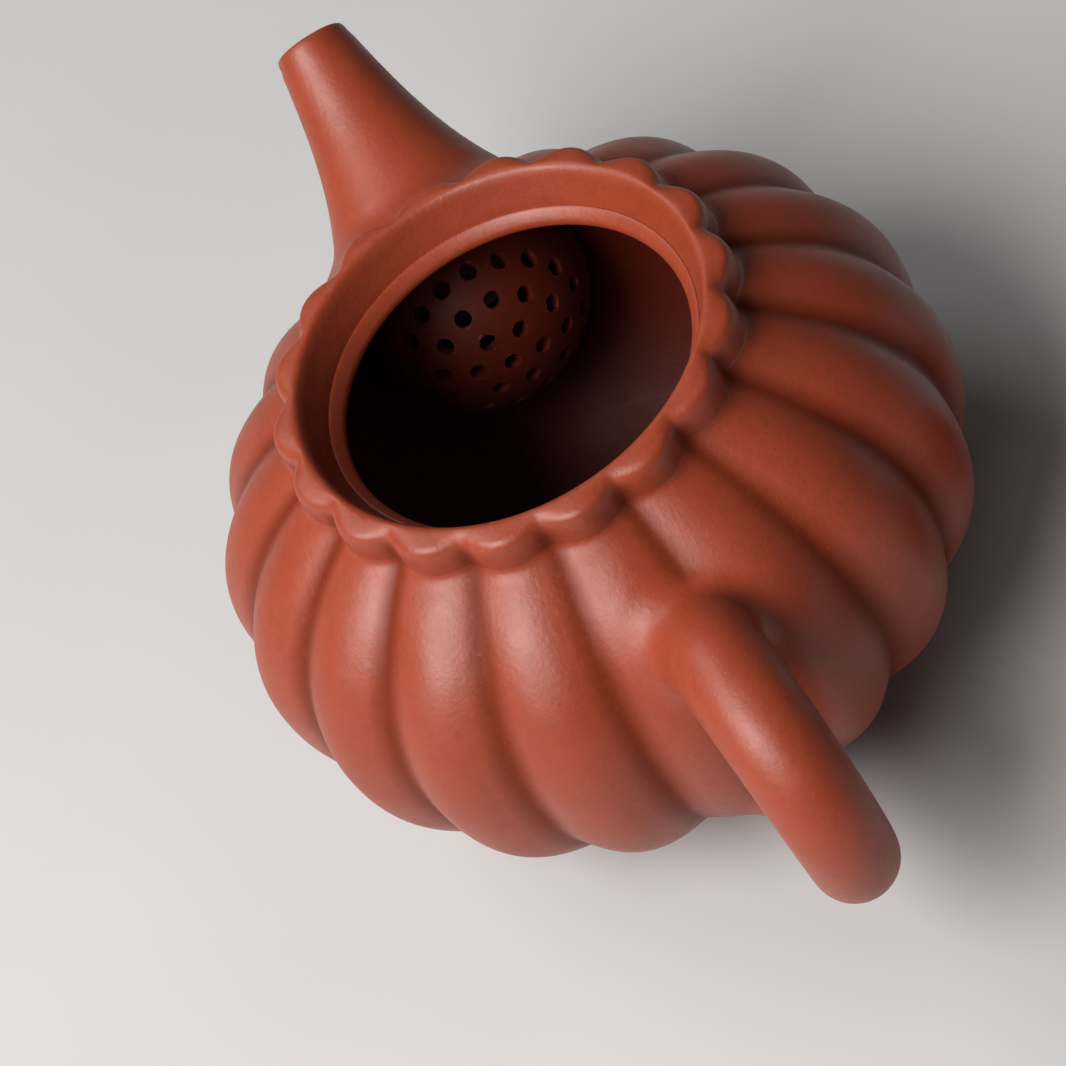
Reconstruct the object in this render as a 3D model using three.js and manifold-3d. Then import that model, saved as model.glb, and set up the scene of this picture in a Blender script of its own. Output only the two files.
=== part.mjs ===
// A small ribbed clay teapot with its lid set down beside it, as separate clay pieces.
// Millimetres, +Z up, spout towards +X, handle towards -X. The origin is on the pot's
// axis, in the plane that the foot stands on.
import * as THREE from "three";
import { mergeVertices } from "three/addons/utils/BufferGeometryUtils.js";
import Module from "manifold-3d";

const wasm = await Module();
wasm.setup();

// ---------- driving dimensions ----------
const gap = 0.3;                 // between two clay pieces that are luted together
const facetSlack = 0.2;         // more than that where a flat facet bulges into a curve
const wall = 2.8;                // clay thickness of the body behind a valley

const ribCount = 18;
const ribDepth = 0.052;          // depth of a valley as a share of the radius
const ribTurn = THREE.MathUtils.degToRad(-4);    // of the ribs' crests from the spout's plane
const valleySoftness = 0.12;     // rounds the bottom of a valley

const bodyRadius = 48;           // over the rib crests
const widestHeight = 33;         // height of the widest circle
const shoulderRise = 32.1;       // height over which the shoulder would close
const bellyDrop = 36;            // depth over which the belly would close
const fullness = 2.15;           // 2 is an ellipse, more is squarer

const bodyBottom = 2.4;          // where the body wall meets the foot
const floorHeight = 5;
const footOuterRadius = 25.4;
const footInnerRadius = 22.5;
const footRound = 0.6;           // chamfer that stands for a ring's rounded edge
const baseRecess = 1;            // the base's underside is this far above the table

const holeHeight = 58.6;         // height of the mouth hole's edge
const holeRadius = 22.4;
const holeDepth = 2;             // clay thickness at the hole
const ledgeRadius = 23.9;        // end of the flat ledge, where the conical seat begins
const ledgeRise = 1;             // rise of the ledge from the hole to that line
const collarRadius = 27.6;       // outside of the ring that is let into the body
const holeRound = 0.6;           // rounding of the hole's two edges
const lipLobe = 1.6;             // how far a lobe of the lip stands out from its valleys
const lipSide = [                // the lip in a valley: radius, share of the lobe, rise over the hole
  [28.5, 1, 1.3], [28.2, 1, 3.4], [27.7, 0.75, 4.9], [26.7, 0.3, 5.6], [25.9, 0, 5.5], [25.5, 0, 4.8],
];

const spoutTip = new THREE.Vector3(68.2, 0, 59.8);
const spoutBend = new THREE.Vector3(56.5, 0, 47.8);
const spoutRoot = new THREE.Vector3(42.6, 0, 38.8);
const spoutTipFacing = THREE.MathUtils.degToRad(40);    // rise of the tip's cut face
const spoutRootFacing = THREE.MathUtils.degToRad(16.4); // the root's ring lies on the body
const spoutSides = 32;
const spoutRows = 12;
const spoutInset = 5;            // how far the root runs on inside, before it is cut back
const spoutTipRadius = 5.15;
const spoutTallGrowth = [5, 5.2];    // added by the root, evenly and as a late flare
const spoutWideGrowth = [5.8, 6];    // the same, sideways
const boreTipRadius = 3.1;
const boreGrowth = [3.5, 3.2];
const tipRound = 0.7;
const portRadius = 7.5;
const portHeight = 36.5;

const domeCentre = new THREE.Vector3(39.4, 0, 33.4);
const domeRadius = 15.8;
const domeWall = 2;
const domeTilt = THREE.MathUtils.degToRad(5);           // its pole points inwards and slightly up
const strainerHoleRadius = 1.15;
const strainerHoleSides = 6;
const strainerStep = THREE.MathUtils.degToRad(16.7);    // from the pole to a ring, and to the next
const strainerTurns = [0, 17, 16, 13];                  // degrees that each ring is turned

const handleLine = [             // centre line, x and z
  [-40.5, 47.5], [-50, 51.5], [-60, 49], [-66, 41], [-65.5, 31], [-58.5, 22.5], [-44, 17.5],
];
const handleTurn = THREE.MathUtils.degToRad(2.5);  // of the handle's plane from the spout's
const handleRadius = 5;          // at its thinnest
const handleSwell = 1.1;         // more than that at the upper end
const handleFlare = 2;           // more again where it joins the body
const handleSides = 16;
const handleRows = 30;

const lidPlace = new THREE.Vector3(-42, -78, 0);
const flangeHeight = 7;
const flangeOuterRadius = 21.8;
const flangeInnerRadius = 19.2;
const lidRise = 13.2;            // top of the lid over its flange, under the knob
const knobRadius = 7.6;
const knobHeight = 11.5;
const knobFootRadius = 4.6;
const ventRadius = 1;
// Two smooth corners inside the lip, then the lid's lobed rim in a valley: radius, rise over the hole.
const lidEdge = [
  [25.1, 4.9], [25.7, 6], [27.8, 6], [28.4, 7.1], [27.7, 8.1],
];
const lidDome = [[24, 9.7], [17, 11.9], [10, 13]];   // crests of its ribbed top, the same way
const knobOutline = [            // share of the knob's radius and height
  [0.62, 0.12], [0.86, 0.28], [1, 0.52], [0.93, 0.74], [0.66, 0.93],
];

const ribSteps = 4;              // facets round one rib
const ribSegments = ribCount * ribSteps;
const smoothSegments = 48;

const redClay = { color: 0x9c4a2e, roughness: 0.46, metalness: 0 };
const darkClay = { color: 0x6b2c1c, roughness: 0.55, metalness: 0 };

// ---------- shared shapes ----------

// 1 on a rib's crest and 0 in a valley. A crest lies on +X, before the ribs are turned.
function crest(angle) {
  const wave = Math.cos((ribCount / 2) * angle);
  const soften = (value) => Math.sqrt(value * value + valleySoftness ** 2) - valleySoftness;
  return soften(wave) / soften(1);
}

function ribScale(angle) {
  return 1 - ribDepth * (1 - crest(angle));
}

// Radius of the body's outside over a crest, at a height.
function bodyOutline(height) {
  const rise = height - widestHeight;
  const reach = rise > 0 ? shoulderRise : bellyDrop;
  return bodyRadius * (1 - (Math.abs(rise) / reach) ** fullness) ** (1 / fullness);
}

// Radius of the body's smooth inside.
function innerOutline(height) {
  return bodyOutline(height) * (1 - ribDepth) - wall;
}

// Heights between two levels of the body, closest together where it curves most.
function bodyLevels(from, to, count) {
  const reach = (side) => (side > 0 ? shoulderRise : bellyDrop);
  const turn = (height) => Math.asin((height - widestHeight) / reach(height - widestHeight));
  const start = turn(from);
  const end = turn(to);
  return Array.from({ length: count + 1 }, (_, i) => {
    const angle = start + (end - start) * (i / count);
    return widestHeight + reach(angle) * Math.sin(angle);
  });
}

// ---------- geometry helpers ----------

// Turns an outline of [radius, height] pairs about Z. Each pair may be a function of the
// angle instead, which gives a lobed piece.
function turned(outline, segments) {
  const columns = outline.length;
  const at = (entry, angle) => (typeof entry === "function" ? entry(angle) : entry);
  const points = outline.map((entry) => new THREE.Vector2(...at(entry, 0)));
  const geometry = new THREE.LatheGeometry(points, segments);
  const position = geometry.attributes.position;
  for (let i = 0; i < position.count; i += 1) {
    const angle = (Math.floor(i / columns) % segments) * ((2 * Math.PI) / segments);
    const [radius, height] = at(outline[i % columns], angle);
    position.setXYZ(i, radius * Math.cos(angle), radius * Math.sin(angle), height);
  }
  return geometry;
}

// Bends an upright cylinder so that its height runs along a chain of rings. ringAt(share)
// gives the ring's centre, its in-plane and sideways directions, and its two radii.
function bent(sides, rows, ringAt) {
  const geometry = new THREE.CylinderGeometry(1, 1, 1, sides, rows);
  const position = geometry.attributes.position;
  const point = new THREE.Vector3();
  for (let i = 0; i < position.count; i += 1) {
    point.fromBufferAttribute(position, i);
    const ring = ringAt(point.y + 0.5);
    const moved = ring.centre.clone()
      .addScaledVector(ring.up, point.x * ring.tall)
      .addScaledVector(ring.side, point.z * ring.wide);
    position.setXYZ(i, moved.x, moved.y, moved.z);
  }
  return geometry;
}

// A radius that starts at one size and grows over a share of the length.
function grown(start, [even, late], share) {
  return start + even * share + late * share ** 3;
}

// A closed manifold-3d solid from a geometry.
function solid(geometry) {
  const bare = geometry.clone();
  bare.deleteAttribute("normal");
  bare.deleteAttribute("uv");
  const merged = mergeVertices(bare, 1e-4);
  const corners = merged.index.array;
  const kept = [];
  for (let i = 0; i < corners.length; i += 3) {
    const [a, b, c] = [corners[i], corners[i + 1], corners[i + 2]];
    if (a !== b && b !== c && c !== a) kept.push(a, b, c);
  }
  return new wasm.Manifold(new wasm.Mesh({
    numProp: 3,
    vertProperties: new Float32Array(merged.attributes.position.array),
    triVerts: new Uint32Array(kept),
  }));
}

// The largest of the bodies that a cut leaves.
function largest(body) {
  return body.decompose().sort((a, b) => b.volume() - a.volume())[0];
}

function piece(name, body, finish) {
  const { vertProperties, triVerts } = body.getMesh();
  const geometry = new THREE.BufferGeometry();
  geometry.setAttribute("position", new THREE.BufferAttribute(vertProperties, 3));
  geometry.setIndex(new THREE.BufferAttribute(triVerts, 1));
  const mesh = new THREE.Mesh(geometry, new THREE.MeshStandardMaterial(finish));
  mesh.name = name;
  return mesh;
}

// ---------- the body ----------

// The filled outside of the body, grown by a margin, to cut the pieces that join it.
function bodyBlank(margin) {
  const levels = bodyLevels(bodyBottom, holeHeight, 20);
  const side = levels.map((height) => (angle) => [
    bodyOutline(height) * ribScale(angle) + margin, height,
  ]);
  const outline = [[0, bodyBottom - margin], ...side, [0, holeHeight + margin]];
  return solid(turned(outline, ribSegments).rotateZ(ribTurn));
}

// The hollow inside, shrunk by a margin.
function cavityBlank(margin) {
  const levels = bodyLevels(floorHeight + 3, holeHeight - holeDepth, 12);
  const side = levels.map((height) => [innerOutline(height) - margin, height]);
  return solid(turned([[0, floorHeight + 3], ...side, [0, holeHeight - holeDepth]], ribSegments));
}

function portTool() {
  const length = 30;
  const tool = new THREE.CylinderGeometry(portRadius, portRadius, length, 24);
  tool.rotateZ(-Math.PI / 2);
  tool.translate(bodyRadius, 0, portHeight);
  return solid(tool);
}

// Closes an outline of the ribbed body and cuts the port through it.
function bodyWall(outline) {
  outline.push(outline[0]);
  return solid(turned(outline, ribSegments).rotateZ(ribTurn)).subtract(portTool());
}

function ribbedSide(from, to, count) {
  return bodyLevels(from, to, count).map((height) => (angle) => [
    bodyOutline(height) * ribScale(angle), height,
  ]);
}

function bodyLower() {
  const seam = widestHeight - gap;
  const inside = bodyLevels(floorHeight + 3, seam, 5).reverse();
  return bodyWall([
    ...ribbedSide(bodyBottom, seam, 7),
    ...inside.map((height) => [innerOutline(height), height]),
    [footInnerRadius, floorHeight],
    [footInnerRadius, bodyBottom],
  ]);
}

function bodyUpper() {
  const rim = collarRadius + gap;
  const inside = bodyLevels(widestHeight, holeHeight - 1, 5).reverse();
  return bodyWall([
    ...ribbedSide(widestHeight, holeHeight, 7),
    [rim, holeHeight],
    ...inside.map((height) => [Math.max(innerOutline(height), rim), height]),
  ]);
}

function footRing() {
  const outline = [
    [footInnerRadius, footRound],
    [footInnerRadius + footRound, 0],
    [footOuterRadius - footRound, 0],
    [footOuterRadius, footRound],
    [footOuterRadius, bodyBottom - gap],
    [footInnerRadius, bodyBottom - gap],
  ];
  outline.push(outline[0]);
  return solid(turned(outline, smoothSegments));
}

function basePlate() {
  const radius = footInnerRadius - gap;
  const outline = [[0, baseRecess], [radius, baseRecess], [radius, floorHeight], [0, floorHeight]];
  return solid(turned(outline, smoothSegments));
}

function mouthRing() {
  const bottom = holeHeight - holeDepth;
  const outline = [
    [holeRadius + holeRound, bottom],
    [collarRadius, bottom],
    [collarRadius, holeHeight + ledgeRise],
    [ledgeRadius, holeHeight + ledgeRise],
    [holeRadius + holeRound, holeHeight],
    [holeRadius, holeHeight - holeRound],
    [holeRadius, bottom + holeRound],
  ];
  outline.push(outline[0]);
  return solid(turned(outline, smoothSegments));
}

function lipRing() {
  const shelf = holeHeight + ledgeRise + gap;
  const seam = holeHeight + gap;
  const rebate = collarRadius + gap;
  const outline = [
    [rebate, seam],
    (angle) => [bodyOutline(seam) * ribScale(angle), seam],
    ...lipSide.map(([radius, lobe, rise]) => (angle) => [
      radius + lobe * lipLobe * crest(angle), holeHeight + rise,
    ]),
    [ledgeRadius + gap, shelf],
    [rebate, shelf],
  ];
  outline.push(outline[0]);
  return solid(turned(outline, ribSegments).rotateZ(ribTurn));
}

// ---------- spout, infuser and handle ----------

// Ring of the spout at a share of its length, 0 at the tip and 1 at the root.
function spoutRing(share, tall, wide, run = 0) {
  const line = new THREE.QuadraticBezierCurve3(spoutTip, spoutBend, spoutRoot);
  const facing = THREE.MathUtils.lerp(spoutTipFacing, spoutRootFacing, share);
  const forward = new THREE.Vector3(Math.cos(facing), 0, Math.sin(facing));
  return {
    centre: line.getPoint(share).addScaledVector(forward, -run),
    up: new THREE.Vector3(-Math.sin(facing), 0, Math.cos(facing)),
    side: new THREE.Vector3(0, 1, 0),
    tall,
    wide,
  };
}

// A tapering tube: the first row is pushed out of the tip and the last one into the root.
function spoutSolid(tallAt, wideAt, tipRun, rootRun) {
  return solid(bent(spoutSides, spoutRows, (height) => {
    const row = Math.round((1 - height) * spoutRows);
    const share = THREE.MathUtils.clamp((row - 1) / (spoutRows - 2), 0, 1);
    const run = row === 0 ? -tipRun : row === spoutRows ? rootRun : 0;
    return spoutRing(share, tallAt(share, row), wideAt(share, row), run);
  }));
}

function spout() {
  const rounding = (row) => (row === 0 ? tipRound : 0);
  const outside = spoutSolid(
    (share, row) => grown(spoutTipRadius, spoutTallGrowth, share) - rounding(row),
    (share, row) => grown(spoutTipRadius, spoutWideGrowth, share) - rounding(row),
    tipRound,
    spoutInset,
  );
  const overrun = 3;
  const boreAt = (share) => grown(boreTipRadius, boreGrowth, share);
  const bore = spoutSolid(boreAt, boreAt, overrun, spoutInset + overrun);
  return largest(outside.subtract(bore).subtract(bodyBlank(gap)));
}

// The dome's own frame: its pole is local +Z.
function domeFrame() {
  const pole = new THREE.Vector3(-Math.cos(domeTilt), 0, Math.sin(domeTilt));
  const turn = new THREE.Quaternion().setFromUnitVectors(new THREE.Vector3(0, 0, 1), pole);
  return new THREE.Matrix4().compose(domeCentre, turn, new THREE.Vector3(1, 1, 1));
}

function strainerHoles() {
  const tools = [];
  for (const [ring, turn] of strainerTurns.entries()) {
    const count = Math.max(6 * ring, 1);
    for (let i = 0; i < count; i += 1) {
      const tool = new THREE.CylinderGeometry(
        strainerHoleRadius, strainerHoleRadius, domeWall + 4, strainerHoleSides,
      );
      tool.rotateX(Math.PI / 2);
      tool.translate(0, 0, domeRadius - domeWall / 2);
      tool.rotateY(ring * strainerStep);
      tool.rotateZ((2 * Math.PI * i) / count + THREE.MathUtils.degToRad(turn));
      tools.push(solid(tool.applyMatrix4(domeFrame())));
    }
  }
  return wasm.Manifold.union(tools);
}

function infuserDome() {
  const ball = (radius) => solid(
    new THREE.SphereGeometry(radius, 28, 16).translate(...domeCentre.toArray()),
  );
  const shell = ball(domeRadius).subtract(ball(domeRadius - domeWall));
  return largest(shell.intersect(cavityBlank(gap + facetSlack)).subtract(strainerHoles()));
}

function handle() {
  const line = new THREE.CatmullRomCurve3(handleLine.map(([x, z]) => new THREE.Vector3(x, 0, z)));
  const sideways = new THREE.Vector3(0, 1, 0);
  const body = solid(bent(handleSides, handleRows, (share) => {
    const along = line.getTangentAt(share);
    const flare = handleFlare * (Math.exp(-12 * share) + Math.exp(-12 * (1 - share)));
    const radius = handleRadius + handleSwell * (1 - share) + flare;
    return {
      centre: line.getPointAt(share),
      up: new THREE.Vector3().crossVectors(along, sideways),
      side: sideways,
      tall: radius,
      wide: radius,
    };
  }));
  const turn = new THREE.Matrix4().makeRotationZ(handleTurn);
  return largest(body.transform(turn.elements).subtract(bodyBlank(gap)));
}

// ---------- the lid, on the table beside the pot ----------

// Its flange stands on the table, so a height over the hole's edge is that plus flangeHeight.
function lidPlate() {
  const over = (rise) => flangeHeight + rise;
  const rim = lidEdge.map(([radius, rise], i) => (angle) => [
    radius + (i < 2 ? 0 : lipLobe * crest(angle)), over(rise),
  ]);
  const dome = lidDome.map(([radius, rise]) => (angle) => [radius * ribScale(angle), over(rise)]);
  const outline = [
    [ventRadius, over(gap)],
    [holeRadius, over(gap)],
    [ledgeRadius, over(ledgeRise + gap)],
    ...rim,
    ...dome,
    [knobFootRadius + gap, over(lidRise)],
    [ventRadius, over(lidRise)],
  ];
  outline.push(outline[0]);
  return solid(turned(outline, ribSegments));
}

function lidFlange() {
  const outline = [
    [flangeInnerRadius, footRound],
    [flangeInnerRadius + footRound, 0],
    [flangeOuterRadius - footRound, 0],
    [flangeOuterRadius, footRound],
    [flangeOuterRadius, flangeHeight],
    [flangeInnerRadius, flangeHeight],
  ];
  outline.push(outline[0]);
  return solid(turned(outline, smoothSegments));
}

function lidKnob() {
  const base = flangeHeight + lidRise + gap;
  const bud = knobOutline.map(([width, rise]) => (angle) => [
    width * knobRadius * ribScale(angle), base + rise * knobHeight,
  ]);
  const outline = [
    [ventRadius, base],
    [knobFootRadius, base],
    ...bud,
    [ventRadius, base + knobHeight],
  ];
  outline.push(outline[0]);
  return solid(turned(outline, ribSegments));
}

// ---------- the assembly ----------

const pot = new THREE.Group();
pot.add(
  piece("body_lower", bodyLower(), redClay),
  piece("body_upper", bodyUpper(), redClay),
  piece("foot_ring", footRing(), redClay),
  piece("base_plate", basePlate(), redClay),
  piece("mouth_ring", mouthRing(), redClay),
  piece("lip_ring", lipRing(), redClay),
  piece("spout", spout(), redClay),
  piece("infuser_dome", infuserDome(), darkClay),
  piece("handle", handle(), redClay),
);

const lid = new THREE.Group();
lid.position.copy(lidPlace);
lid.add(
  piece("lid_flange", lidFlange(), redClay),
  piece("lid_plate", lidPlate(), redClay),
  piece("lid_knob", lidKnob(), redClay),
);

const teapot = new THREE.Group();
teapot.add(pot, lid);

export default teapot;
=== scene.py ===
import math

import bmesh
import bpy
import numpy as np
from mathutils import Matrix, Vector


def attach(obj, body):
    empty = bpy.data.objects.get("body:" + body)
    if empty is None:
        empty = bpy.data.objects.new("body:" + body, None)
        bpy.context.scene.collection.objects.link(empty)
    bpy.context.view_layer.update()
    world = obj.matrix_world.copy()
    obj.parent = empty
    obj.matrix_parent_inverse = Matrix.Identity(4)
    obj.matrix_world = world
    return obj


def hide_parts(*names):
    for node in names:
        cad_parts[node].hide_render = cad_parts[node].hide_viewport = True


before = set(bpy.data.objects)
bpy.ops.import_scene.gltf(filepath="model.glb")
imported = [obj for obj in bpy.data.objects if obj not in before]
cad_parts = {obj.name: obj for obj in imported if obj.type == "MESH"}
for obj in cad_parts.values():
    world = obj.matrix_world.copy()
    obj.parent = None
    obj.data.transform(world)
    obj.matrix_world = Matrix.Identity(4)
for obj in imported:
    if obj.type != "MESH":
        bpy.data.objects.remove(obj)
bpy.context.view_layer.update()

MM = 0.001

# ---------- the pot's driving dimensions, the same as the frame's ----------
RIBS = 18
RIB_DEPTH = 0.052               # of a valley, as a share of the radius
RIB_TURN = math.radians(-4)     # of the crests from the spout's plane
VALLEY_SOFTNESS = 0.13
BODY_RADIUS = 48.0
WIDEST = 33.0
SHOULDER_RISE = 32.1
BELLY_DROP = 36.0
FULLNESS = 2.15
WALL = 2.8
FLOOR = 5.0
BODY_BOTTOM = 2.4
FOOT_OUTER = 25.4
FOOT_INNER = 22.5
BASE_RECESS = 1.0

HOLE_HEIGHT = 58.6
HOLE_RADIUS = 22.4
HOLE_DEPTH = 2.0
LEDGE_RADIUS = 23.9
LEDGE_RISE = 1.0
LIP_LOBE = 1.6
LIP_SIDE = 28.2                 # the lip's outside in a valley
LIP_BLEND = 1.6                 # softens the crease between the lip and the body

SPOUT_LINE = ((68.2, 59.8), (56.5, 47.8), (42.6, 38.8))     # x, z: tip, bend, root
SPOUT_FACINGS = (math.radians(40), math.radians(16.4))
SPOUT_TIP_RADIUS = 5.15
SPOUT_TALL = (5.0, 5.2)
SPOUT_WIDE = (5.8, 6.0)
BORE_TIP_RADIUS = 3.1
BORE_GROWTH = (3.5, 3.2)
PORT_RADIUS = 7.5
PORT_HEIGHT = 36.5

DOME_CENTRE = (39.4, 0.0, 33.4)
DOME_RADIUS = 15.8
DOME_WALL = 2.0
DOME_TILT = math.radians(5)
STRAINER_HOLE = 1.15
STRAINER_STEP = math.radians(16.7)      # from the pole to a ring of holes, and to the next
STRAINER_TURNS = (0, 17, 16, 13)        # degrees that each ring is turned

HANDLE_LINE = (
    (-40.5, 47.5), (-50, 51.5), (-60, 49), (-66, 41), (-65.5, 31), (-58.5, 22.5), (-44, 17.5),
)
HANDLE_TURN = math.radians(2.5)         # of its plane from the spout's
HANDLE_RADIUS = 4.9
HANDLE_SWELL = 1.1

LID_PLACE = (-42.0, -78.0)
FLANGE_HEIGHT = 7.0
FLANGE_OUTER = 21.8
FLANGE_INNER = 19.2
LID_RISE = 13.2
KNOB_RADIUS = 7.6
KNOB_HEIGHT = 11.5
VENT_RADIUS = 1.0

RIBBED_COLUMNS = RIBS * 32
SMOOTH_COLUMNS = 192

SPOUT_COLUMNS = 256
HANDLE_COLUMNS = 288
SPOUT_BLEND = 4.5               # size of the fillet round the spout's root
HANDLE_BLEND = 3.6
FILLET_REACH = 1.15             # of a fillet on the tube and on the body, in blends
SKIRT_ROWS = 28                 # in the fillet round a root
TUCK = 0.6                      # how far a fillet's last row goes in under the body
VALLEY_SHADE_FADE = 2                   # height off the body where the painted shade of its valleys is gone


# ---------- numbers on surfaces ----------

def crest(angle):
    """1 on a rib's crest, 0 in a valley."""
    wave = np.cos(RIBS / 2 * np.asarray(angle, float))

    def soften(value):
        return np.sqrt(value * value + VALLEY_SOFTNESS ** 2) - VALLEY_SOFTNESS

    return soften(wave) / soften(1.0)


def rib_scale(angle):
    return 1 - RIB_DEPTH * (1 - crest(angle))


def body_outline(height):
    """Radius of the body over a crest."""
    rise = np.asarray(height, float) - WIDEST
    reach = np.where(rise > 0, SHOULDER_RISE, BELLY_DROP)
    return BODY_RADIUS * np.maximum(1 - (np.abs(rise) / reach) ** FULLNESS, 1e-6) ** (1 / FULLNESS)


def inner_outline(height):
    return body_outline(height) * (1 - RIB_DEPTH) - WALL


def body_levels(low, high, count):
    """Heights from low to high, closest together where the body curves most."""
    def turn(height):
        return math.asin((height - WIDEST) / (SHOULDER_RISE if height > WIDEST else BELLY_DROP))

    turns = np.linspace(turn(low), turn(high), count)
    return WIDEST + np.where(turns > 0, SHOULDER_RISE, BELLY_DROP) * np.sin(turns)


def smoothstep(value):
    value = np.clip(value, 0, 1)
    return value * value * (3 - 2 * value)


# ---------- mesh making ----------

def rounded(rows, times, closed):
    """Cuts the corners of a chain of rows, again and again, which rounds it."""
    for _ in range(times):
        ahead = np.roll(rows, -1, axis=0)
        cut = np.stack([0.75 * rows + 0.25 * ahead, 0.25 * rows + 0.75 * ahead], axis=1)
        cut = cut.reshape(-1, *rows.shape[1:])
        rows = cut if closed else np.concatenate([rows[:1], cut[1:-3], rows[-1:]])
    return rows


def turned(outline, columns, rounds=0, closed=True):
    """Rows of points from an outline of (radius, height) pairs, where either may depend on the angle."""
    angle = np.arange(columns) * (2 * math.pi / columns)
    rows = np.array([
        np.stack([np.broadcast_to(radius, angle.shape), np.broadcast_to(height, angle.shape)], axis=-1)
        for radius, height in outline
    ], float)
    rows = rounded(rows, rounds, closed)
    return np.stack([rows[..., 0] * np.cos(angle), rows[..., 0] * np.sin(angle), rows[..., 1]], axis=-1)


def spun(points, angle):
    """Points turned about Z."""
    cos, sin = math.cos(angle), math.sin(angle)
    x, y, z = np.moveaxis(points, -1, 0)
    return np.stack([x * cos - y * sin, x * sin + y * cos, z], axis=-1)


def grid_faces(rows, columns, closed_rows):
    """Quads over a grid whose columns run all the way round."""
    faces = []
    for row in range(rows if closed_rows else rows - 1):
        above = (row + 1) % rows
        for column in range(columns):
            right = (column + 1) % columns
            faces.append((
                row * columns + column, row * columns + right,
                above * columns + right, above * columns + column,
            ))
    return faces


def make_piece(name, grid, closed_rows, body, nodes, material, valley_shade=None, edges=()):
    """A smooth mesh from a grid of points, riding on a body in place of CAD nodes. tone is a number
    for each point, kept on the mesh for painted shade in the material, and edges are the rows that stay
    sharp."""
    columns = grid.shape[1]
    faces = grid_faces(grid.shape[0], columns, closed_rows)
    points = grid.reshape(-1, 3)
    mesh = bpy.data.meshes.new(name)
    mesh.from_pydata((points * MM).tolist(), [], faces)
    if valley_shade is None:
        valley_shade = np.ones(len(points))
    kept = mesh.attributes.new("valley_shade", "FLOAT", "POINT")
    kept.data.foreach_set("value", np.asarray(valley_shade, np.float32))
    bm = bmesh.new()
    bm.from_mesh(mesh)
    for edge in bm.edges:
        first, second = (vertex.index // columns for vertex in edge.verts)
        edge.smooth = first != second or first not in edges
    bmesh.ops.remove_doubles(bm, verts=bm.verts, dist=1e-6)
    bmesh.ops.recalc_face_normals(bm, faces=bm.faces)
    bm.to_mesh(mesh)
    bm.free()
    return finish_piece(name, mesh, body, nodes, material)


def finish_piece(name, mesh, body, nodes, material):
    for polygon in mesh.polygons:
        polygon.use_smooth = True
    piece = bpy.data.objects.new(name, mesh)
    bpy.context.scene.collection.objects.link(piece)
    mesh.materials.append(material)
    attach(piece, body)
    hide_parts(*nodes)
    return piece


# ---------- distance fields, for the fillets where pieces meet ----------

def body_field(points):
    """About the distance out of the ribbed body."""
    radius = np.hypot(points[:, 0], points[:, 1])
    angle = np.arctan2(points[:, 1], points[:, 0]) - RIB_TURN
    rise = points[:, 2] - WIDEST
    reach = np.where(rise > 0, SHOULDER_RISE, BELLY_DROP)
    across = radius / (BODY_RADIUS * rib_scale(angle))
    level = (across ** FULLNESS + (np.abs(rise) / reach) ** FULLNESS) ** (1 / FULLNESS)
    steep = np.hypot(
        across ** (FULLNESS - 1) / (BODY_RADIUS * rib_scale(angle)),
        (np.abs(rise) / reach) ** (FULLNESS - 1) / reach,
    ) / level ** (FULLNESS - 1)
    return (level - 1) / steep


def body_valley_shade(grid):
    """The painted shade of the body's rib valleys for points on it, which fades to 1, no shade, a little
    way off it.
    """
    points = grid.reshape(-1, 3)
    near = smoothstep(1 - body_field(points) / VALLEY_SHADE_FADE)
    return 1 - near * (1 - crest(np.arctan2(points[:, 1], points[:, 0]) - RIB_TURN))


class Tube:
    """A chain of elliptical rings in an upright plane turned about Z from X's: centres, up
    directions and two radii."""

    def __init__(self, centres, ups, tall, wide, turn=0.0):
        self.centres, self.ups, self.tall, self.wide, self.turn = centres, ups, tall, wide, turn
        self.forward = np.stack([ups[:, 1], -ups[:, 0]], axis=-1)

    def at(self, share):
        """Centre, up, tall and wide at shares of the chain."""
        place = np.clip(np.asarray(share, float), 0, 1) * (len(self.centres) - 1)
        low = np.minimum(place.astype(int), len(self.centres) - 2)
        part = (place - low)[..., None]

        def mix(values):
            return values[low] * (1 - part) + values[low + 1] * part

        tall = mix(self.tall[:, None])[..., 0]
        wide = mix(self.wide[:, None])[..., 0]
        return mix(self.centres), mix(self.ups), tall, wide

    def point(self, share, angle):
        centre, up, tall, wide = self.at(share)
        flat = centre + up * (tall * np.cos(angle))[..., None]
        return spun(np.stack([flat[..., 0], wide * np.sin(angle), flat[..., 1]], axis=-1), self.turn)

    def field(self, points, near):
        """About the distance out of the tube, looking only near a share of its length."""
        count = len(self.centres)
        reach = max(count // 6, 2)
        first = np.clip((near * (count - 1)).astype(int) - reach, 0, count - 1)
        index = np.clip(first[:, None] + np.arange(2 * reach + 1), 0, count - 1)
        points = spun(points, -self.turn)
        flat = points[:, [0, 2]]
        off = ((flat[:, None] - self.centres[index]) ** 2).sum(-1)
        best = index[np.arange(len(points)), off.argmin(1)]
        ahead = ((flat - self.centres[best]) * self.forward[best]).sum(-1)
        step = np.linalg.norm(self.centres[-1] - self.centres[-2])
        sense = np.sign(((self.centres[-1] - self.centres[0]) * self.forward[best]).sum(-1))
        share = np.clip((best + sense * ahead / step) / (count - 1), 0, 1)
        centre, up, tall, wide = self.at(share)
        high = ((flat - centre) * up).sum(-1)
        level = np.hypot(high / tall, points[:, 1] / wide)
        steep = np.hypot(high / tall ** 2, points[:, 1] / wide ** 2) / np.maximum(level, 1e-6)
        return (level - 1) / np.maximum(steep, 1e-6)


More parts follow.
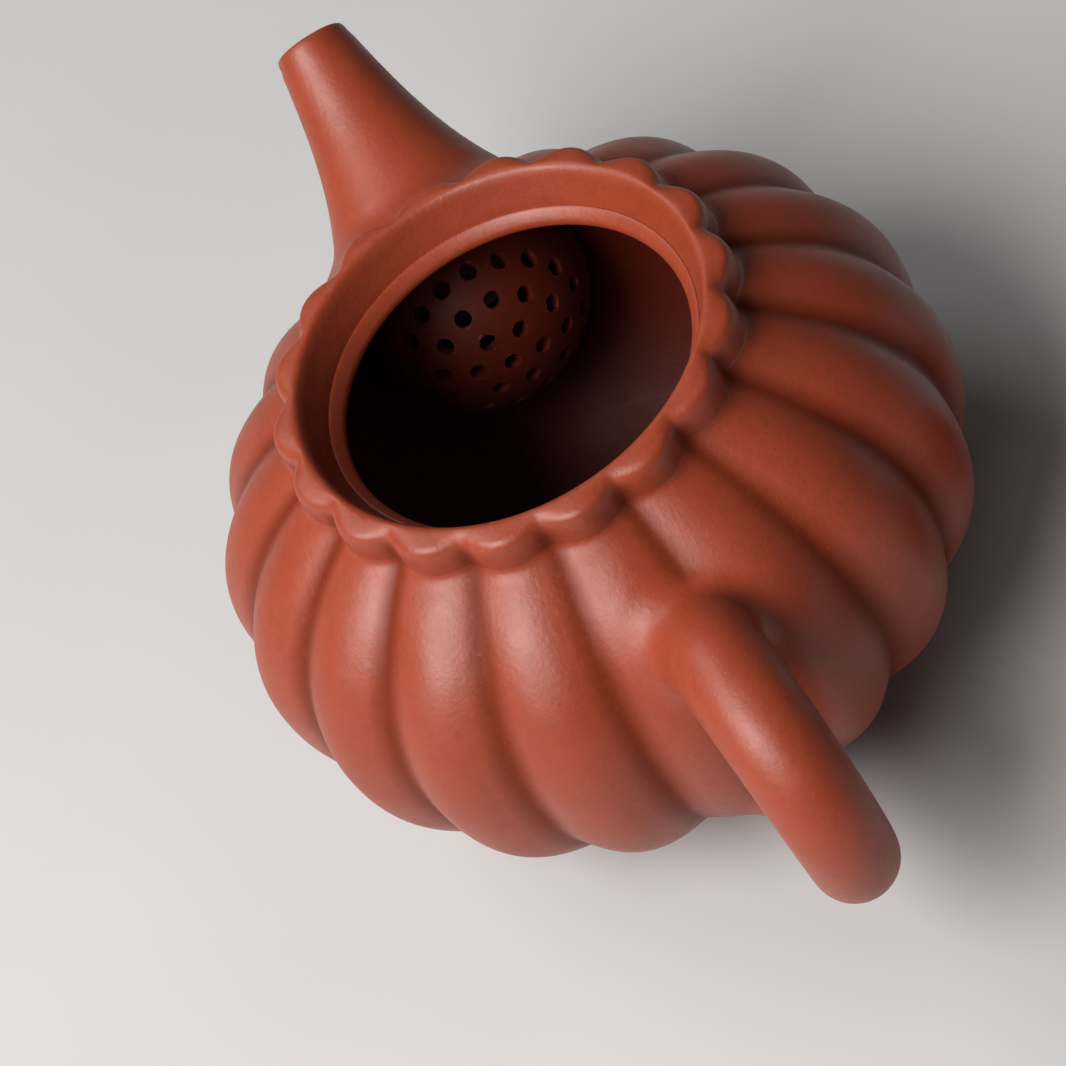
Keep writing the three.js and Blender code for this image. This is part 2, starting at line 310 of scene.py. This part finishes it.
def leaves_body(tube, angle, inside, outside, blend):
    """For each column, the tube's share that is far enough out of the body to start a fillet."""
    low, high = np.full(len(angle), outside), np.full(len(angle), inside)
    for _ in range(30):
        middle = (low + high) / 2
        out = body_field(tube.point(middle, angle)) > FILLET_REACH * blend
        low, high = np.where(out, middle, low), np.where(out, high, middle)
    return low


def gradient(field, points):
    """Central differences of a field at points."""
    step = 0.02
    slopes = []
    for axis in range(3):
        shift = np.zeros(3)
        shift[axis] = step
        slopes.append((field(points + shift) - field(points - shift)) / (2 * step))
    return np.stack(slopes, axis=-1)


def fillet(tube, start, near, blend):
    """Rows of points that leave a tube and run smoothly out on to the body. Each column stays in
    its own plane, and all the planes meet in one line that stands square on the body."""
    axis = gradient(body_field, start).mean(axis=0)
    axis /= np.linalg.norm(axis)
    outward = start - start.mean(axis=0)
    outward -= (outward @ axis)[:, None] * axis
    outward /= np.linalg.norm(outward, axis=-1, keepdims=True)

    def of_tube(points):
        return tube.field(points, near)

    def joined(points):
        a, b = of_tube(points), body_field(points)
        close = np.maximum(blend - np.abs(a - b), 0) / blend
        return np.minimum(a, b) - close * close * blend / 4

    def between(points):
        return of_tube(points) - body_field(points)

    points = start.copy()
    begin = between(points)
    found = []
    for row in range(1, SKIRT_ROWS + 1):
        share = row / SKIRT_ROWS
        target = begin * (1 - share) + FILLET_REACH * blend * share
        for _ in range(5):
            off = joined(points)
            short = target - between(points)
            a = gradient(joined, points)
            b = gradient(between, points)
            a_out, a_up = (a * outward).sum(-1), a @ axis
            b_out, b_up = (b * outward).sum(-1), b @ axis
            scale = a_out * b_up - a_up * b_out
            scale = np.copysign(np.maximum(np.abs(scale), 0.05), scale)
            out = (-off * b_up - short * a_up) / scale
            up = (short * a_out + off * b_out) / scale
            move = out[:, None] * outward + up[:, None] * axis
            length = np.linalg.norm(move, axis=-1, keepdims=True)
            points = points + move * np.minimum(1, 1.5 / np.maximum(length, 1e-6))
        found.append(points.copy())
    return np.array(found)


def tucked(rows):
    """Rows that lie on the body, with the last one pushed in under it."""
    normal = gradient(body_field, rows[-1])
    normal /= np.linalg.norm(normal, axis=-1, keepdims=True)
    return np.concatenate([rows[:-1], rows[-2:-1] - TUCK * normal])


# ---------- materials ----------

def noise(tree, where, scale, detail, roughness=0.5):
    made = tree.nodes.new("ShaderNodeTexNoise")
    made.inputs["Scale"].default_value = scale
    made.inputs["Detail"].default_value = detail
    made.inputs["Roughness"].default_value = roughness
    tree.links.new(where, made.inputs["Vector"])
    return made.outputs["Fac"]


def ramp(tree, value, stops):
    made = tree.nodes.new("ShaderNodeValToRGB")
    band = made.color_ramp
    while len(band.elements) < len(stops):
        band.elements.new(0.5)
    for element, (place, colour) in zip(band.elements, stops):
        element.position = place
        element.color = (*colour, 1) if len(colour) == 3 else colour
    tree.links.new(value, made.inputs["Fac"])
    return made.outputs["Color"]


def grey(value):
    return (value, value, value)


def mixed(tree, kind, share, first, second):
    made = tree.nodes.new("ShaderNodeMix")
    made.data_type = "RGBA"
    made.blend_type = kind
    for socket, value in ((made.inputs[0], share), (made.inputs[6], first), (made.inputs[7], second)):
        if isinstance(value, bpy.types.NodeSocket):
            tree.links.new(value, socket)
        elif isinstance(value, (int, float)):
            socket.default_value = value
        else:
            socket.default_value = (*value, 1)
    return made.outputs[2]


def maths(tree, kind, first, second):
    made = tree.nodes.new("ShaderNodeMath")
    made.operation = kind
    for socket, value in zip(made.inputs, (first, second)):
        if isinstance(value, bpy.types.NodeSocket):
            tree.links.new(value, socket)
        else:
            socket.default_value = value
    return made.outputs[0]


def clay(name, colour, roughness, shine, wet=False):
    """Unglazed, fine-grained clay: cloudy colour, sand specks, fine grain and a satin surface, with painted
    shade in the rib valleys.
    """
    material = bpy.data.materials.new(name)
    material.use_nodes = True
    tree = material.node_tree
    shader = tree.nodes["Principled BSDF"]
    where = tree.nodes.new("ShaderNodeTexCoord").outputs["Object"]
    valley_shade = tree.nodes.new("ShaderNodeAttribute")
    valley_shade.attribute_name = "valley_shade"

    cloud = noise(tree, where, 45, 4)
    speck = noise(tree, where, 1900, 2)
    dust = noise(tree, where, 700, 3, 0.6)
    base = ramp(tree, cloud, [
        (0.3, tuple(c * 0.92 for c in colour)), (0.5, colour), (0.72, tuple(c * 1.08 for c in colour)),
    ])
    # painted shade: the colour is darkened where the tone attribute is low, in the rib valleys
    valleys = ramp(tree, valley_shade.outputs["Fac"], [(0, grey(0.42)), (0.5, grey(1))])
    base = mixed(tree, "MULTIPLY", 0.75, base, valleys)
    base = mixed(tree, "MULTIPLY", 0.6, base, ramp(tree, dust, [(0.36, grey(0.86)), (0.5, grey(1))]))
    base = mixed(
        tree, "MIX", ramp(tree, speck, [(0.66, grey(0)), (0.74, grey(0.22))]), base,
        tuple(min(c * 1.7 + 0.02, 1) for c in colour),
    )
    base = mixed(
        tree, "MIX", ramp(tree, speck, [(0.24, grey(0.25)), (0.33, grey(0))]), base,
        tuple(c * 0.4 for c in colour),
    )
    tree.links.new(base, shader.inputs["Base Color"])

    rough = ramp(tree, noise(tree, where, 120, 5, 0.65), [
        (0.3, grey(roughness - 0.07)), (0.7, grey(roughness + 0.08)),
    ])
    if wet:
        film = ramp(tree, noise(tree, where, 420, 2, 0.5), [(0.64, grey(0)), (0.68, grey(1))])
        rough = mixed(tree, "MIX", film, rough, grey(0.08))
    tree.links.new(rough, shader.inputs["Roughness"])
    gloss = ramp(tree, valley_shade.outputs["Fac"], [(0, grey(0.15 * shine)), (0.5, grey(shine))])
    tree.links.new(gloss, shader.inputs["Specular IOR Level"])
    shader.inputs["Sheen Weight"].default_value = 0.02
    shader.inputs["Sheen Roughness"].default_value = 0.5
    shader.inputs["Sheen Tint"].default_value = (1.0, 0.78, 0.7, 1)

    coarse = maths(tree, "MULTIPLY", noise(tree, where, 260, 4), 1.6)
    grain = maths(tree, "ADD", noise(tree, where, 1500, 3, 0.6), coarse)
    bump = tree.nodes.new("ShaderNodeBump")
    bump.inputs["Strength"].default_value = 0.14
    bump.inputs["Distance"].default_value = 0.00035
    tree.links.new(grain, bump.inputs["Height"])
    tree.links.new(bump.outputs["Normal"], shader.inputs["Normal"])
    return material


RED = (0.28, 0.042, 0.0145)
# painted shade: SHADED_RED is a darker copy of the red clay's colour, for the inside wall, the inside floor
# and the strainer dome, which sit in the pot's shade
SHADED_RED = (0.105, 0.012, 0.005)
red_clay = clay("red_clay", RED, 0.43, 0.52)
dark_clay = clay("dark_clay", SHADED_RED, 0.55, 0.2)
shaded_inner_clay = clay("shaded_inner_clay", SHADED_RED, 0.5, 0.2)
shaded_floor_clay = clay("shaded_floor_clay", SHADED_RED, 0.45, 0.3, wet=True)


# ---------- the body ----------

def ribbed_rows(levels, columns=RIBBED_COLUMNS):
    angle = np.arange(columns) * (2 * math.pi / columns)
    radius = body_outline(levels)[:, None] * rib_scale(angle)[None]
    return np.stack([
        radius * np.cos(angle + RIB_TURN),
        radius * np.sin(angle + RIB_TURN),
        np.broadcast_to(levels[:, None], radius.shape),
    ], axis=-1)


def smooth_rows(levels, columns=RIBBED_COLUMNS):
    angle = np.arange(columns) * (2 * math.pi / columns) + RIB_TURN
    radius = np.broadcast_to(inner_outline(levels)[:, None], (len(levels), columns))
    return np.stack([
        radius * np.cos(angle), radius * np.sin(angle), np.broadcast_to(levels[:, None], radius.shape),
    ], axis=-1)


lobes = crest(np.arange(RIBBED_COLUMNS) * (2 * math.pi / RIBBED_COLUMNS))


def lip_rows():
    """From under the ledge up the conical seat, and over the lobed top of the lip."""
    outline = [
        (LEDGE_RADIUS - 0.15, HOLE_HEIGHT + LEDGE_RISE - 0.7),
        (LEDGE_RADIUS + 0.1, HOLE_HEIGHT + LEDGE_RISE + 0.25),
        (24.9, HOLE_HEIGHT + 3.4),
        (25.6, HOLE_HEIGHT + 5.2),
        (26.3, HOLE_HEIGHT + 5.9),
        (27.1 + 0.4 * LIP_LOBE * lobes, HOLE_HEIGHT + 5.6 + 0.2 * lobes),
        (27.9 + 0.9 * LIP_LOBE * lobes, HOLE_HEIGHT + 4.7 + 0.7 * lobes),
        (LIP_SIDE + LIP_LOBE * lobes, HOLE_HEIGHT + 3.4 + 0.5 * lobes),
        (LIP_SIDE + LIP_LOBE * lobes, HOLE_HEIGHT + 1.4),
    ]
    return spun(turned(outline, RIBBED_COLUMNS, 3, False), RIB_TURN)


def outside_rows():
    """Down the outside of the body, which runs up softly into the lip's side."""
    shoulder = np.linspace(HOLE_HEIGHT + 1.3, HOLE_HEIGHT - 1.6, 24)
    levels = np.concatenate([shoulder, body_levels(BODY_BOTTOM, HOLE_HEIGHT - 1.8, 120)[::-1]])
    rows = ribbed_rows(levels)
    radius = np.hypot(rows[..., 0], rows[..., 1])
    side = np.broadcast_to(LIP_SIDE + LIP_LOBE * lobes, radius.shape)
    close = np.maximum(LIP_BLEND - np.abs(radius - side), 0) / LIP_BLEND
    joined = np.maximum(radius, side) + close * close * LIP_BLEND / 4
    grow = np.where(levels[:, None] > WIDEST, joined / radius, 1)
    return rows * np.stack([grow, grow, np.ones(grow.shape)], axis=-1)


def make_body():
    """The body's wall and its lip, without the patch that the spout's port takes out."""
    lip = lip_rows()
    outside = np.concatenate([lip, outside_rows()])
    floor_edge = spun(turned([
        (FOOT_INNER + 0.2, BODY_BOTTOM), (FOOT_INNER + 0.2, FLOOR - 0.3), (FOOT_INNER + 0.6, FLOOR - 0.1),
    ], RIBBED_COLUMNS), RIB_TURN)
    inside = smooth_rows(body_levels(FLOOR + 3, HOLE_HEIGHT - HOLE_DEPTH, 64))
    rim = inside[-1:] * np.array([0.9, 0.9, 1]) + np.array([0, 0, HOLE_DEPTH - 1])
    hidden = np.concatenate([floor_edge, inside, rim])
    grid = np.concatenate([outside, hidden])
    # painted shade in the rib valleys: none on the seat and the top of the lip, full down the lip's side
    # and the body, none on the inside rows
    valleys = smoothstep((np.arange(len(outside)) / len(lip) - 0.55) / 0.4)[:, None]
    valley_shade = np.concatenate([(1 - valleys * (1 - lobes)).ravel(), np.ones(len(hidden) * RIBBED_COLUMNS)])
    nodes = ["body_lower", "body_upper", "lip_ring"]
    piece = make_piece("body_wall", grid, True, "pot", nodes, red_clay, valley_shade)
    # The second material, for the inside faces, is the darker clay: painted shade.
    piece.data.materials.append(shaded_inner_clay)
    bm = bmesh.new()
    bm.from_mesh(piece.data)
    cut = []
    for face in bm.faces:
        centre = face.calc_center_median() / MM
        from_port = math.hypot(centre.y, centre.z - PORT_HEIGHT)
        across = math.hypot(centre.x, centre.y)
        if centre.x > 0 and from_port < PORT_RADIUS:
            cut.append(face)
        elif centre.z < HOLE_HEIGHT - 1 and across < inner_outline(centre.z) + 0.5 * WALL:
            face.material_index = 1
    bmesh.ops.delete(bm, geom=cut, context="FACES")
    bm.to_mesh(piece.data)
    bm.free()


make_body()

foot_outline = [
    (FOOT_INNER, 0.3), (FOOT_INNER + 0.3, 0), (FOOT_OUTER - 0.5, 0), (FOOT_OUTER, 0.5),
    (FOOT_OUTER + 0.1, 1.6), (FOOT_OUTER + 1.2, BODY_BOTTOM + 0.6), (FOOT_INNER, BODY_BOTTOM + 0.6),
]
make_piece("foot_ring", turned(foot_outline, SMOOTH_COLUMNS, 3), True, "pot", ["foot_ring"], red_clay)
base_outline = [
    (0, BASE_RECESS), (FOOT_INNER - 1.5, BASE_RECESS), (FOOT_INNER + 0.1, BASE_RECESS + 0.9),
    (FOOT_INNER + 0.1, FLOOR - 0.5), (0, FLOOR),
]
base_grid = turned(base_outline, SMOOTH_COLUMNS, 3, False)
base = make_piece("base_plate", base_grid, False, "pot", ["base_plate"], red_clay)
# The inside floor takes the darker clay: painted shade, with wet patches of low roughness.
base.data.materials.append(shaded_floor_clay)
for polygon in base.data.polygons:
    polygon.material_index = int(polygon.center.z > (FLOOR - 1) * MM)


# ---------- the mouth ----------

mouth_outline = [
    (HOLE_RADIUS + 5.4, HOLE_HEIGHT - HOLE_DEPTH),
    (HOLE_RADIUS + 0.8, HOLE_HEIGHT - HOLE_DEPTH),
    (HOLE_RADIUS, HOLE_HEIGHT - HOLE_DEPTH + 0.6),
    (HOLE_RADIUS - 0.05, HOLE_HEIGHT - 0.6),
    (HOLE_RADIUS + 0.4, HOLE_HEIGHT + 0.1),
    (LEDGE_RADIUS - 0.4, HOLE_HEIGHT + LEDGE_RISE - 0.15),
    (LEDGE_RADIUS - 0.05, HOLE_HEIGHT + LEDGE_RISE - 0.1),
    (LEDGE_RADIUS + 0.15, HOLE_HEIGHT + LEDGE_RISE - 0.5),
    (LEDGE_RADIUS + 3, HOLE_HEIGHT + LEDGE_RISE - 0.6),
]
mouth_grid = turned(mouth_outline, SMOOTH_COLUMNS * 2, 3)
make_piece("mouth_ring", mouth_grid, True, "pot", ["mouth_ring"], red_clay)


# ---------- the spout ----------

def bezier(points, shares):
    a, b, c = np.array(points, float)
    s = shares[:, None]
    return a * (1 - s) ** 2 + 2 * b * s * (1 - s) + c * s * s


def grown(start, growth, share):
    even, late = growth
    return start + even * share + late * share ** 3


def spout_chain(tall_growth, wide_growth, start):
    shares = np.linspace(0, 1, 241)
    facing = SPOUT_FACINGS[0] * (1 - shares) + SPOUT_FACINGS[1] * shares
    ups = np.stack([-np.sin(facing), np.cos(facing)], axis=-1)
    tall = grown(start, tall_growth, shares)
    wide = grown(start, wide_growth, shares)
    return Tube(bezier(SPOUT_LINE, shares), ups, tall, wide)


def make_spout():
    columns = SPOUT_COLUMNS
    angle = np.arange(columns) * (2 * math.pi / columns)
    tube = spout_chain(SPOUT_TALL, SPOUT_WIDE, SPOUT_TIP_RADIUS)
    root = leaves_body(tube, angle, 1.0, 0.0, SPOUT_BLEND)
    rows = [tube.point(root * share, angle) for share in np.linspace(0, 1, 36)]
    skirt = tucked(fillet(tube, rows[-1], root, SPOUT_BLEND))

    facing = SPOUT_FACINGS[0]
    forward = np.array([math.cos(facing), 0, math.sin(facing)])
    tip = np.array([SPOUT_LINE[0][0], 0, SPOUT_LINE[0][1]])
    ring = (rows[0] - tip) / SPOUT_TIP_RADIUS
    edge = [
        (BORE_TIP_RADIUS, -1.6), (BORE_TIP_RADIUS, -0.2), (BORE_TIP_RADIUS + 0.35, 0.35),
        (0.5 * (BORE_TIP_RADIUS + SPOUT_TIP_RADIUS), 0.62), (SPOUT_TIP_RADIUS - 0.35, 0.4),
        (SPOUT_TIP_RADIUS - 0.05, -0.15), (SPOUT_TIP_RADIUS + 0.04, -0.9),
    ]
    rim = rounded(np.array([tip + ring * radius + forward * run for radius, run in edge]), 3, False)
    bore_tube = spout_chain(BORE_GROWTH, BORE_GROWTH, BORE_TIP_RADIUS)
    bore = [bore_tube.point(np.full(columns, share), angle) for share in np.linspace(0.93, 0.07, 20)]
    port = [
        np.stack([
            np.full(columns, x), radius * np.sin(angle), PORT_HEIGHT + radius * np.cos(angle),
        ], axis=-1)
        for x, radius in ((41.4, PORT_RADIUS + 1.2), (42.6, PORT_RADIUS - 0.1), (44.6, PORT_RADIUS - 0.1))
    ]
    grid = np.concatenate([np.array(port), np.array(bore), rim, np.array(rows[3:]), skirt])
    make_piece("spout", grid, False, "pot", ["spout"], red_clay, body_valley_shade(grid), (len(grid) - 2,))


make_spout()


# ---------- the handle ----------

def through(points, count):
    """A smooth line through points, evenly spaced."""
    points = np.array(points, float)
    points = np.concatenate([[2 * points[0] - points[1]], points, [2 * points[-1] - points[-2]]])
    fine = []
    for i in range(1, len(points) - 2):
        a, b, c, d = points[i - 1:i + 3]
        for t in np.linspace(0, 1, 60, endpoint=False):
            fine.append(0.5 * (
                2 * b + (c - a) * t + (2 * a - 5 * b + 4 * c - d) * t * t + (3 * b - a - 3 * c + d) * t ** 3
            ))
    fine = np.array(fine + [points[-2]])
    run = np.concatenate([[0], np.cumsum(np.linalg.norm(np.diff(fine, axis=0), axis=1))])
    even = np.linspace(0, run[-1], count)
    return np.stack([np.interp(even, run, fine[:, axis]) for axis in range(2)], axis=-1)


def make_handle():
    columns = HANDLE_COLUMNS
    angle = np.arange(columns) * (2 * math.pi / columns)
    line = through(HANDLE_LINE, 241)
    along = np.gradient(line, axis=0)
    along /= np.linalg.norm(along, axis=1, keepdims=True)
    ups = np.stack([-along[:, 1], along[:, 0]], axis=-1)
    share = np.linspace(0, 1, len(line))
    radius = HANDLE_RADIUS + HANDLE_SWELL * (1 - share)
    tube = Tube(line, ups, radius, radius, HANDLE_TURN)
    top = leaves_body(tube, angle, 0.0, 0.4, HANDLE_BLEND)
    bottom = leaves_body(tube, angle, 1.0, 0.6, HANDLE_BLEND)
    rows = np.array([
        tube.point(top * (1 - part) + bottom * part, angle) for part in np.linspace(0, 1, 120)
    ])
    over = tucked(fillet(tube, rows[0], top, HANDLE_BLEND))
    under = tucked(fillet(tube, rows[-1], bottom, HANDLE_BLEND))
    grid = np.concatenate([over[::-1], rows, under])
    make_piece("handle", grid, False, "pot", ["handle"], red_clay, body_valley_shade(grid), (1, len(grid) - 2))


make_handle()


# ---------- the strainer dome ----------

def make_dome():
    """A shell of a ball, with real holes, cut to what is inside the body's wall."""
    centre = Vector(DOME_CENTRE)
    pole = Vector((-math.cos(DOME_TILT), 0, math.sin(DOME_TILT)))
    turn = Vector((0, 0, 1)).rotation_difference(pole).to_matrix().to_4x4()
    place = Matrix.Translation(centre) @ turn
    bm = bmesh.new()
    rings, columns = 44, 120
    limit = math.radians(112)
    shells = []
    for radius in (DOME_RADIUS, DOME_RADIUS - DOME_WALL):
        rows = []
        for i in range(1, rings + 1):
            tilt = limit * i / rings
            rows.append([
                bm.verts.new((
                    radius * math.sin(tilt) * math.cos(2 * math.pi * j / columns),
                    radius * math.sin(tilt) * math.sin(2 * math.pi * j / columns),
                    radius * math.cos(tilt),
                )) for j in range(columns)
            ])
        top = bm.verts.new((0, 0, radius))
        for j in range(columns):
            bm.faces.new((top, rows[0][j], rows[0][(j + 1) % columns]))
        for low, high in zip(rows, rows[1:]):
            for j in range(columns):
                right = (j + 1) % columns
                bm.faces.new((low[j], high[j], high[right], low[right]))
        shells.append(rows)
    for j in range(columns):
        right = (j + 1) % columns
        bm.faces.new((shells[0][-1][j], shells[1][-1][j], shells[1][-1][right], shells[0][-1][right]))
    bmesh.ops.recalc_face_normals(bm, faces=bm.faces)
    shell = bpy.data.meshes.new("dome_shell")
    bm.to_mesh(shell)
    bm.free()

    tools = bmesh.new()
    for ring, turned_by in enumerate(STRAINER_TURNS):
        count = max(6 * ring, 1)
        for i in range(count):
            round_pole = 2 * math.pi * i / count + math.radians(turned_by)
            spin = Matrix.Rotation(round_pole, 4, "Z") @ Matrix.Rotation(ring * STRAINER_STEP, 4, "Y")
            bmesh.ops.create_cone(
                tools, cap_ends=True, segments=20, radius1=STRAINER_HOLE, radius2=STRAINER_HOLE,
                depth=DOME_WALL + 3, matrix=spin @ Matrix.Translation((0, 0, DOME_RADIUS - DOME_WALL / 2)),
            )
    punch = bpy.data.meshes.new("dome_punch")
    tools.to_mesh(punch)
    tools.free()

    target = bpy.data.objects.new("dome_target", shell)
    cutter = bpy.data.objects.new("dome_cutter", punch)
    for one in (target, cutter):
        bpy.context.scene.collection.objects.link(one)
    cut = target.modifiers.new("holes", "BOOLEAN")
    cut.operation, cut.solver, cut.object = "DIFFERENCE", "EXACT", cutter
    edge = target.modifiers.new("edges", "BEVEL")
    edge.limit_method, edge.angle_limit = "ANGLE", math.radians(50)
    edge.width, edge.segments = 0.16, 2
    bpy.context.view_layer.update()
    ready = bpy.data.meshes.new_from_object(target.evaluated_get(bpy.context.evaluated_depsgraph_get()))
    bpy.data.objects.remove(target)
    bpy.data.objects.remove(cutter)

    ready.name = "infuser_dome"
    ready.transform(place)
    bm = bmesh.new()
    bm.from_mesh(ready)
    outside = [
        v for v in bm.verts
        if math.hypot(v.co.x, v.co.y) > float(inner_outline(v.co.z)) + 1.0
    ]
    bmesh.ops.delete(bm, geom=outside, context="VERTS")
    bm.to_mesh(ready)
    bm.free()
    ready.transform(Matrix.Scale(MM, 4))
    valley_shade = ready.attributes.new("valley_shade", "FLOAT", "POINT")
    valley_shade.data.foreach_set("value", np.ones(len(ready.vertices), np.float32))
    # The dome takes the darker clay: painted shade.
    dome = finish_piece("infuser_dome", ready, "pot", ["infuser_dome"], dark_clay)
    smooth = dome.modifiers.new("shading", "WEIGHTED_NORMAL")
    smooth.keep_sharp = True
    return dome


make_dome()


# ---------- the lid ----------

def on_table(points):
    return points + np.array([LID_PLACE[0], LID_PLACE[1], 0.0])


# painted shade in the valleys between the lid's ribs
def lid_valley_shade(grid):
    return np.tile(0.35 + 0.65 * lobes, len(grid))


def make_lid():
    over = FLANGE_HEIGHT
    flange = [
        (FLANGE_INNER, 0.4), (FLANGE_INNER + 0.5, 0), (FLANGE_OUTER - 0.6, 0), (FLANGE_OUTER, 0.6),
        (FLANGE_OUTER, over + 0.4), (FLANGE_INNER, over + 0.4),
    ]
    flange_grid = on_table(turned(flange, SMOOTH_COLUMNS, 3))
    make_piece("lid_flange", flange_grid, True, "lid", ["lid_flange"], red_clay)
    rib = rib_scale(np.arange(RIBBED_COLUMNS) * (2 * math.pi / RIBBED_COLUMNS))
    plate = [
        (VENT_RADIUS, over + 0.3),
        (HOLE_RADIUS, over + 0.3),
        (LEDGE_RADIUS, over + 1.3),
        (25.1, over + 4.9),
        (25.7, over + 6.0),
        (27.8 + LIP_LOBE * lobes, over + 5.9),
        (28.6 + LIP_LOBE * lobes, over + 6.8),
        (28.2 + LIP_LOBE * lobes, over + 7.9),
        (26.8 + 1.3 * lobes, over + 8.7),
        (24 * rib, over + 10.0),
        (17 * rib, over + 12.1),
        (10 * rib, over + 13.1),
        (5.6, over + LID_RISE),
        (VENT_RADIUS, over + LID_RISE),
    ]
    plate_grid = on_table(turned(plate, RIBBED_COLUMNS, 3))
    make_piece("lid_plate", plate_grid, True, "lid", ["lid_plate"], red_clay, lid_valley_shade(plate_grid))
    base = over + LID_RISE
    knob = [
        (VENT_RADIUS, base - 0.4),
        (5.8, base - 0.4),
        (4.9, base + 0.5),
        (4.3, base + 1.3),
        (0.80 * KNOB_RADIUS * rib, base + 0.20 * KNOB_HEIGHT),
        (1.00 * KNOB_RADIUS * rib, base + 0.36 * KNOB_HEIGHT),
        (1.03 * KNOB_RADIUS * rib, base + 0.62 * KNOB_HEIGHT),
        (0.90 * KNOB_RADIUS * rib, base + 0.86 * KNOB_HEIGHT),
        (0.50 * KNOB_RADIUS * rib, base + 1.01 * KNOB_HEIGHT),
        (VENT_RADIUS + 0.4, base + 1.02 * KNOB_HEIGHT),
        (VENT_RADIUS, base + 0.96 * KNOB_HEIGHT),
    ]
    knob_grid = on_table(turned(knob, RIBBED_COLUMNS, 3))
    make_piece("lid_knob", knob_grid, True, "lid", ["lid_knob"], red_clay, lid_valley_shade(knob_grid))


make_lid()


# ---------- floor, light and camera ----------

def make_floor():
    half = 6.0
    corners = [(-half, -half, 0), (half, -half, 0), (half, half, 0), (-half, half, 0)]
    mesh = bpy.data.meshes.new("floor")
    mesh.from_pydata(corners, [], [(0, 1, 2, 3)])
    floor = bpy.data.objects.new("floor", mesh)
    bpy.context.scene.collection.objects.link(floor)
    material = bpy.data.materials.new("floor")
    material.use_nodes = True
    tree = material.node_tree
    shader = tree.nodes["Principled BSDF"]
    where = tree.nodes.new("ShaderNodeTexCoord").outputs["Object"]
    tree.links.new(
        ramp(tree, noise(tree, where, 8, 3), [(0.3, grey(0.50)), (0.7, grey(0.54))]),
        shader.inputs["Base Color"],
    )
    shader.inputs["Roughness"].default_value = 0.8
    mesh.materials.append(material)


def area_light(name, place, target, size, power, colour=(1, 1, 1)):
    light = bpy.data.lights.new(name, "AREA")
    light.shape = "DISK"
    light.size = size
    light.energy = power
    light.color = colour
    made = bpy.data.objects.new(name, light)
    bpy.context.scene.collection.objects.link(made)
    made.location = place
    made.rotation_mode = "QUATERNION"
    made.rotation_quaternion = (Vector(target) - Vector(place)).to_track_quat("-Z", "Y")
    return made


def round_the_pot(azimuth, elevation, distance):
    """A place seen from the pot's middle, angles in degrees from +X."""
    a, e = math.radians(azimuth), math.radians(elevation)
    return Vector((math.cos(a) * math.cos(e), math.sin(a) * math.cos(e), math.sin(e))) * distance


POT_MIDDLE = Vector((0, 0, 0.035))
make_floor()
area_light("key", POT_MIDDLE + round_the_pot(116, 48, 0.75), POT_MIDDLE, 0.6, 8.5, (1, 0.97, 0.94))
area_light("front", POT_MIDDLE + round_the_pot(155, 38, 0.9), POT_MIDDLE, 0.3, 0.6, (1, 0.96, 0.93))
area_light("fill", POT_MIDDLE + round_the_pot(40, 50, 1.1), POT_MIDDLE, 0.6, 3.0, (1, 1, 1))

world = bpy.data.worlds.new("studio")
world.use_nodes = True
world.node_tree.nodes["Background"].inputs["Color"].default_value = (1, 1, 1, 1)
world.node_tree.nodes["Background"].inputs["Strength"].default_value = 0.07
bpy.context.scene.world = world

CAMERA_AZIMUTH = 181.24
CAMERA_ELEVATION = 46.6
CAMERA_ROLL = math.radians(35.2)
CAMERA_DISTANCE = 0.4
CAMERA_LENS = 113.3
MOUTH_MIDDLE = Vector((0, 0, HOLE_HEIGHT * MM))
CAMERA_AIM = Vector((-0.01358, 0.0086, 0.04726))


def make_camera():
    data = bpy.data.cameras.new("camera")
    data.lens = CAMERA_LENS
    data.sensor_width = 36
    data.clip_start = 0.01
    data.clip_end = 20
    camera = bpy.data.objects.new("camera", data)
    bpy.context.scene.collection.objects.link(camera)
    camera.location = MOUTH_MIDDLE + round_the_pot(CAMERA_AZIMUTH, CAMERA_ELEVATION, CAMERA_DISTANCE)
    look = (CAMERA_AIM - camera.location).to_track_quat("-Z", "Y").to_matrix()
    camera.rotation_mode = "QUATERNION"
    camera.rotation_quaternion = (look @ Matrix.Rotation(-CAMERA_ROLL, 3, "Z")).to_quaternion()
    bpy.context.scene.camera = camera


make_camera()
bpy.context.scene.view_settings.view_transform = "Standard"
